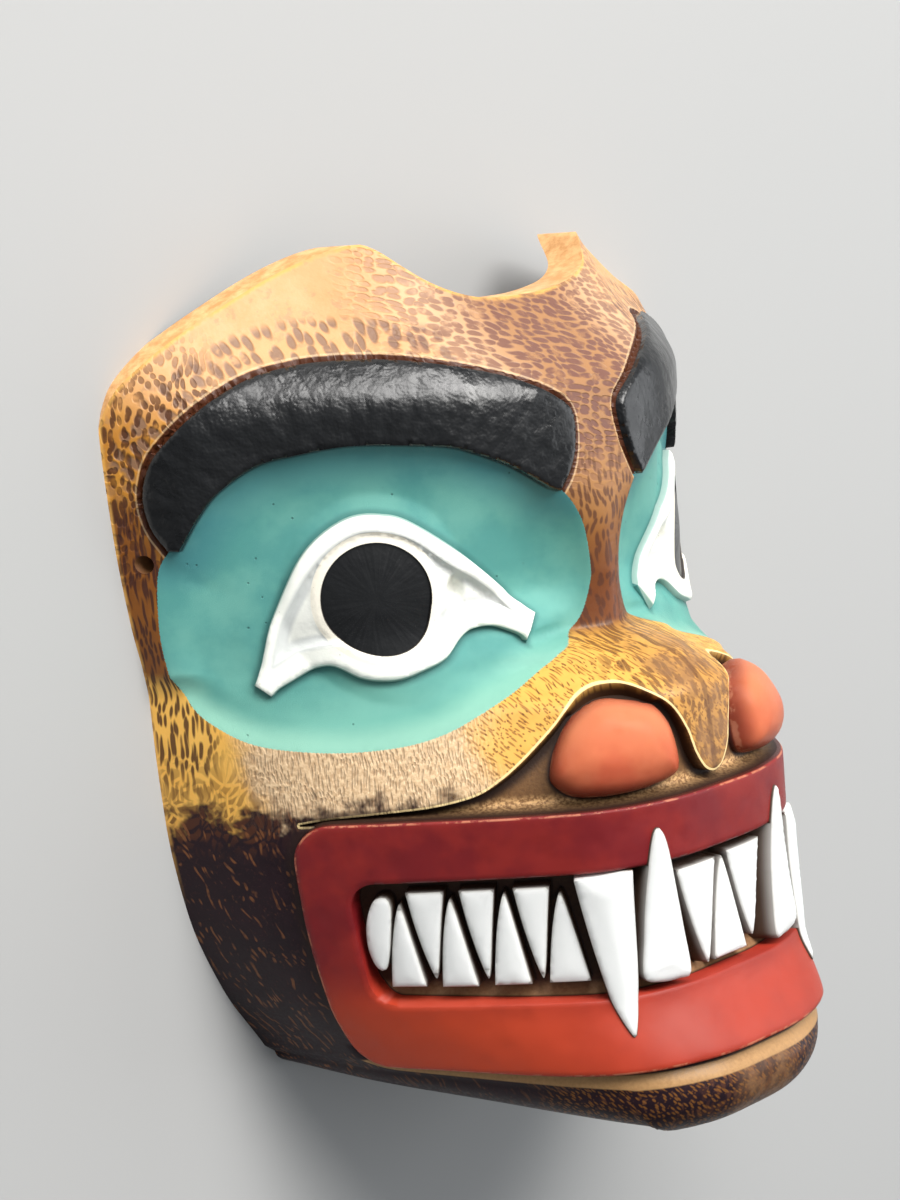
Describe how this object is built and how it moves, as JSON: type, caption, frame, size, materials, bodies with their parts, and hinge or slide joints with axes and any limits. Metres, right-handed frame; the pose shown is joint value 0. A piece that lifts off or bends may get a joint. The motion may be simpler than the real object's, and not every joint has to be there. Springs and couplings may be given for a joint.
{
  "type": "bear mask",
  "caption": "Small hollow bear mask cast in painted resin, with black brows, almond eyes in green sockets, a broad snout and a red mouth full of white teeth.",
  "frame": {"origin": "under the middle of the mask as it lies on its back rim", "axes": "+Z out of the face, +Y from the jaw towards the forehead, X across the face"},
  "size_m": [0.133, 0.148, 0.0743],
  "materials": {
    "painted_resin": "cast resin painted by hand in satin brown over golden yellow, with green, white, red and glossy black fields"
  },
  "bodies": {
    "root": {"bear_mask": "painted_resin"}
  },
  "joints": []
}
